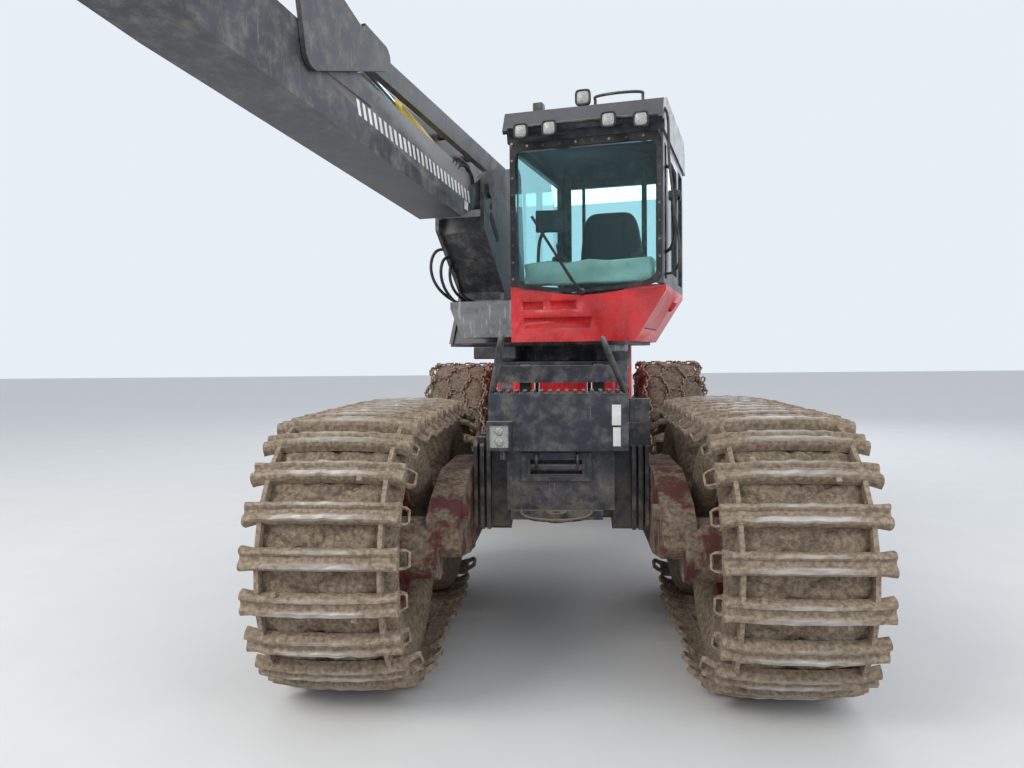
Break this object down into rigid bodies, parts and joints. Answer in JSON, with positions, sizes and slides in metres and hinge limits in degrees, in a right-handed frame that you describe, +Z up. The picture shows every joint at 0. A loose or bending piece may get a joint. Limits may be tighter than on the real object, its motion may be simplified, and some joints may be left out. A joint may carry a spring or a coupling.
{
  "type": "forestry harvester",
  "caption": "Six-wheel forestry harvester with band tracks, turning cab, parallel crane and harvester head.",
  "frame": {"origin": "on the ground, under the middle of the whole machine's box", "axes": "+Z up, front of the machine toward -Y, +X toward the operator's left"},
  "size_m": [4.389, 11.952, 3.7985],
  "materials": {
    "black_frame": "black paint, worn and dusty",
    "navy_paint": "dark blue-black paint, satin",
    "red_paint": "red paint, semi-gloss",
    "muddy_case": "dark paint under dried mud",
    "muddy_tyre": "rubber caked with mud",
    "red_rim": "red paint under mud",
    "track_steel": "worn steel with dried mud",
    "chain_tyre": "rubber and rusty chain",
    "cylinder_paint": "yellow paint",
    "rod_chrome": "polished",
    "glass": "tinted",
    "grey_sheet": "bare grey sheet, dented",
    "lamp": "clear lens in a dark case",
    "seat_fabric": "dark woven cover",
    "engine_cast": "cast and painted",
    "rail_steel": "worn paint on tube",
    "roller_steel": "worn steel"
  },
  "bodies": {
    "front_frame": {"front_frame": "black_frame", "step_box": "navy_paint", "front_axle": "black_frame", "handrails": "rail_steel"},
    "bogie_left": {"bogie_case_left": "muddy_case", "bogie_tyres_left": "muddy_tyre", "bogie_rims_left": "red_rim", "track_left": "track_steel"},
    "bogie_right": {"bogie_case_right": "muddy_case", "bogie_tyres_right": "muddy_tyre", "bogie_rims_right": "red_rim", "track_right": "track_steel"},
    "rear_frame": {"rear_frame": "black_frame", "engine_block": "engine_cast"},
    "engine_hood": {"engine_hood": "red_paint"},
    "rear_axle": {"rear_axle": "black_frame"},
    "rear_wheel_left": {"rear_tyre_left": "chain_tyre", "rear_rim_left": "red_paint"},
    "rear_wheel_right": {"rear_tyre_right": "chain_tyre", "rear_rim_right": "red_paint"},
    "steer_barrel_left": {"steer_barrel_left": "cylinder_paint"},
    "steer_rod_left": {"steer_rod_left": "rod_chrome"},
    "steer_barrel_right": {"steer_barrel_right": "cylinder_paint"},
    "steer_rod_right": {"steer_rod_right": "rod_chrome"},
    "tilt_base": {"tilt_base": "black_frame"},
    "tilt_barrels": {"tilt_barrels": "cylinder_paint"},
    "tilt_rods": {"tilt_rods": "rod_chrome"},
    "upper": {"slew_platform": "navy_paint", "cab_lower_body": "red_paint", "cab_frame": "navy_paint", "cab_roof": "navy_paint", "cab_glass": "glass", "work_lamps": "lamp", "cab_fittings": "black_frame", "operator_seat": "seat_fabric", "crane_pillar": "navy_paint", "base_cover": "grey_sheet"},
    "cab_door": {"cab_door": "navy_paint", "door_glass": "glass"},
    "main_boom": {"main_boom": "navy_paint"},
    "parallel_bar": {"parallel_bar": "navy_paint"},
    "rocker": {"rocker": "navy_paint"},
    "front_stay": {"front_stay": "navy_paint"},
    "tip_link": {"tip_link": "navy_paint"},
    "lift_barrel": {"lift_barrel": "cylinder_paint"},
    "lift_rod": {"lift_rod": "rod_chrome"},
    "jib": {"jib": "navy_paint"},
    "jib_barrel": {"jib_barrel": "navy_paint"},
    "jib_rod": {"jib_rod": "rod_chrome"},
    "extension": {"extension": "black_frame"},
    "crane_tip": {"crane_tip": "black_frame"},
    "rotator": {"rotator": "black_frame"},
    "head_yoke": {"head_yoke": "red_paint"},
    "head_frame": {"head_frame": "red_paint"},
    "roller_arm_left": {"roller_arm_left": "black_frame"},
    "roller_arm_right": {"roller_arm_right": "black_frame"},
    "feed_roller_left": {"feed_roller_left": "roller_steel"},
    "feed_roller_right": {"feed_roller_right": "roller_steel"},
    "knife_left": {"knife_left": "roller_steel"},
    "knife_right": {"knife_right": "roller_steel"}
  },
  "joints": [
    {"name": "bogie_swing_left", "type": "hinge", "parent": "front_frame", "child": "bogie_left", "pos_m": [1.32283, 0.27597, 0.857], "axis": [1, 0, 0], "range_deg": [-15, 15]},
    {"name": "bogie_swing_right", "type": "hinge", "parent": "front_frame", "child": "bogie_right", "pos_m": [0.06683, 0.27597, 0.857], "axis": [1, 0, 0], "range_deg": [-15, 15]},
    {"name": "steer", "type": "hinge", "parent": "front_frame", "child": "rear_frame", "pos_m": [0.69483, 2.22597, 1], "axis": [0, 0, -1], "range_deg": [-35, 35]},
    {"name": "hood_lift", "type": "hinge", "parent": "rear_frame", "child": "engine_hood", "pos_m": [0.69483, 5.94797, 1.272], "axis": [-1, 0, 0], "range_deg": [0, 55]},
    {"name": "axle_swing", "type": "hinge", "parent": "rear_frame", "child": "rear_axle", "pos_m": [0.69483, 4.11597, 0.859], "axis": [0, 1, 0], "range_deg": [-6, 6]},
    {"name": "wheel_left", "type": "hinge", "parent": "rear_axle", "child": "rear_wheel_left", "pos_m": [1.83033, 4.11597, 0.859], "axis": [1, 0, 0], "continuous": true},
    {"name": "wheel_right", "type": "hinge", "parent": "rear_axle", "child": "rear_wheel_right", "pos_m": [-0.44067, 4.11597, 0.859], "axis": [1, 0, 0], "continuous": true},
    {"name": "steer_barrel_left", "type": "hinge", "parent": "front_frame", "child": "steer_barrel_left", "pos_m": [0.99483, 1.87597, 0.99], "axis": [0, 0, -1], "range_deg": [-19.26, 19.26]},
    {"name": "steer_rod_left", "type": "slide", "parent": "steer_barrel_left", "child": "steer_rod_left", "axis": [0, 1, 0], "range_m": [-0.18376, 0.18376]},
    {"name": "steer_barrel_right", "type": "hinge", "parent": "front_frame", "child": "steer_barrel_right", "pos_m": [0.39483, 1.87597, 0.99], "axis": [0, 0, -1], "range_deg": [-19.26, 19.26]},
    {"name": "steer_rod_right", "type": "slide", "parent": "steer_barrel_right", "child": "steer_rod_right", "axis": [0, 1, 0], "range_m": [-0.18376, 0.18376]},
    {"name": "base_tilt", "type": "hinge", "parent": "front_frame", "child": "tilt_base", "pos_m": [0.69483, 1.25597, 1.645], "axis": [1, 0, 0], "range_deg": [-4, 10]},
    {"name": "tilt_barrels", "type": "hinge", "parent": "front_frame", "child": "tilt_barrels", "pos_m": [0.92483, 1.93597, 1.15], "axis": [1, 0, 0], "range_deg": [-3.61, 9.01]},
    {"name": "tilt_rods", "type": "slide", "parent": "tilt_barrels", "child": "tilt_rods", "axis": [0, 0.5843, 0.8115], "range_m": [-0.05565, 0.13838]},
    {"name": "slew", "type": "hinge", "parent": "tilt_base", "child": "upper", "pos_m": [0.69483, 1.87597, 1.742], "axis": [0, 0, -1], "range_deg": [-123, 96]},
    {"name": "door", "type": "hinge", "parent": "upper", "child": "cab_door", "pos_m": [1.66989, 1.91469, 2.6], "axis": [0, 0, 1], "range_deg": [0, 80]},
    {"name": "boom_lift", "type": "hinge", "parent": "upper", "child": "main_boom", "pos_m": [-0.07098, 1.6357, 3.105], "axis": [-0.9732, 0.23, 0], "range_deg": [-10, 40]},
    {"name": "bar_swing", "type": "hinge", "parent": "upper", "child": "parallel_bar", "pos_m": [0.10183, 2.36677, 3.33627], "axis": [-0.9732, 0.23, 0], "range_deg": [-10, 40]},
    {"name": "rocker_swing", "type": "hinge", "parent": "main_boom", "child": "rocker", "pos_m": [-0.66315, -0.86935, 3.28404], "axis": [-0.9732, 0.23, 0], "range_deg": [-40, 10]},
    {"name": "stay_swing", "type": "hinge", "parent": "rocker", "child": "front_stay", "pos_m": [-0.6827, -0.95207, 3.63404], "axis": [-0.9732, 0.23, 0], "range_deg": [-10, 40]},
    {"name": "link_swing", "type": "hinge", "parent": "main_boom", "child": "tip_link", "pos_m": [-1.0822, -2.64207, 3.37057], "axis": [-0.9732, 0.23, 0], "range_deg": [-40, 10]},
    {"name": "lift_barrel_swing", "type": "hinge", "parent": "upper", "child": "lift_barrel", "pos_m": [-0.07098, 1.6357, 3.105], "axis": [-0.9732, 0.23, 0], "range_deg": [-12.41, 49.61]},
    {"name": "lift_rod_slide", "type": "slide", "parent": "lift_barrel", "child": "lift_rod", "axis": [-0.2244, -0.9494, 0.2196], "range_m": [-0.09649, 0.38447]},
    {"name": "jib_fold", "type": "hinge", "parent": "tip_link", "child": "jib", "pos_m": [-1.0822, -2.64207, 3.37057], "axis": [-0.9732, 0.23, 0], "range_deg": [-45, 25]},
    {"name": "jib_barrel_swing", "type": "hinge", "parent": "tip_link", "child": "jib_barrel", "pos_m": [-1.10176, -2.72479, 3.72057], "axis": [-0.9732, 0.23, 0], "range_deg": [-38.71, 21.51]},
    {"name": "jib_rod_slide", "type": "slide", "parent": "jib_barrel", "child": "jib_rod", "axis": [-0.1916, -0.8106, -0.5534], "range_m": [-0.1314, 0.23612]},
    {"name": "extension_slide", "type": "slide", "parent": "jib", "child": "extension", "axis": [-0.1992, -0.8428, -0.5], "range_m": [0, 1.5]},
    {"name": "tip_swing", "type": "hinge", "parent": "extension", "child": "crane_tip", "pos_m": [-1.70663, -5.28359, 1.79191], "axis": [-0.9732, 0.23, 0], "range_deg": [-45, 45]},
    {"name": "tip_sway", "type": "hinge", "parent": "crane_tip", "child": "rotator", "pos_m": [-1.70663, -5.28359, 1.64191], "axis": [-0.23, -0.9732, 0], "range_deg": [-30, 30]},
    {"name": "rotator_turn", "type": "hinge", "parent": "rotator", "child": "head_yoke", "pos_m": [-1.70663, -5.28359, 1.24191], "axis": [0, 0, 1], "continuous": true},
    {"name": "head_tilt", "type": "hinge", "parent": "head_yoke", "child": "head_frame", "pos_m": [-1.70663, -5.28359, 1.01191], "axis": [-0.9732, 0.23, 0], "range_deg": [0, 90]},
    {"name": "roller_arm_left", "type": "hinge", "parent": "head_frame", "child": "roller_arm_left", "pos_m": [-1.45361, -5.3434, 0.79691], "axis": [-0.23, -0.9732, 0], "range_deg": [0, 25]},
    {"name": "roller_arm_right", "type": "hinge", "parent": "head_frame", "child": "roller_arm_right", "pos_m": [-1.95966, -5.22378, 0.79691], "axis": [0.23, 0.9732, 0], "range_deg": [0, 25]},
    {"name": "feed_roller_left", "type": "hinge", "parent": "roller_arm_left", "child": "feed_roller_left", "pos_m": [-1.46334, -5.3411, 0.41191], "axis": [0, 0, 1], "continuous": true},
    {"name": "feed_roller_right", "type": "hinge", "parent": "roller_arm_right", "child": "feed_roller_right", "pos_m": [-1.94993, -5.22608, 0.41191], "axis": [0, 0, 1], "continuous": true},
    {"name": "knife_left", "type": "hinge", "parent": "head_frame", "child": "knife_left", "pos_m": [-1.73708, -5.93403, 0.71191], "axis": [-0.23, -0.9732, 0], "range_deg": [0, 35]},
    {"name": "knife_right", "type": "hinge", "parent": "head_frame", "child": "knife_right", "pos_m": [-1.97065, -5.87882, 0.71191], "axis": [0.23, 0.9732, 0], "range_deg": [0, 35]}
  ],
  "couplings": [
    {"joint": "steer_barrel_left", "follows": "steer", "ratio": 0.55},
    {"joint": "steer_rod_left", "follows": "steer", "m_per_rad": -0.3},
    {"joint": "steer_barrel_right", "follows": "steer", "ratio": 0.55},
    {"joint": "steer_rod_right", "follows": "steer", "m_per_rad": 0.3},
    {"joint": "tilt_barrels", "follows": "base_tilt", "ratio": 0.9},
    {"joint": "tilt_rods", "follows": "base_tilt", "m_per_rad": 0.79},
    {"joint": "bar_swing", "follows": "boom_lift", "ratio": 1},
    {"joint": "rocker_swing", "follows": "boom_lift", "ratio": -1},
    {"joint": "stay_swing", "follows": "boom_lift", "ratio": 1},
    {"joint": "link_swing", "follows": "boom_lift", "ratio": -1},
    {"joint": "lift_barrel_swing", "follows": "boom_lift", "ratio": 1.24},
    {"joint": "lift_rod_slide", "follows": "boom_lift", "m_per_rad": 0.55},
    {"joint": "jib_barrel_swing", "follows": "jib_fold", "ratio": 0.86},
    {"joint": "jib_rod_slide", "follows": "jib_fold", "m_per_rad": -0.3},
    {"joint": "roller_arm_right", "follows": "roller_arm_left", "ratio": 1},
    {"joint": "knife_right", "follows": "knife_left", "ratio": 1}
  ]
}
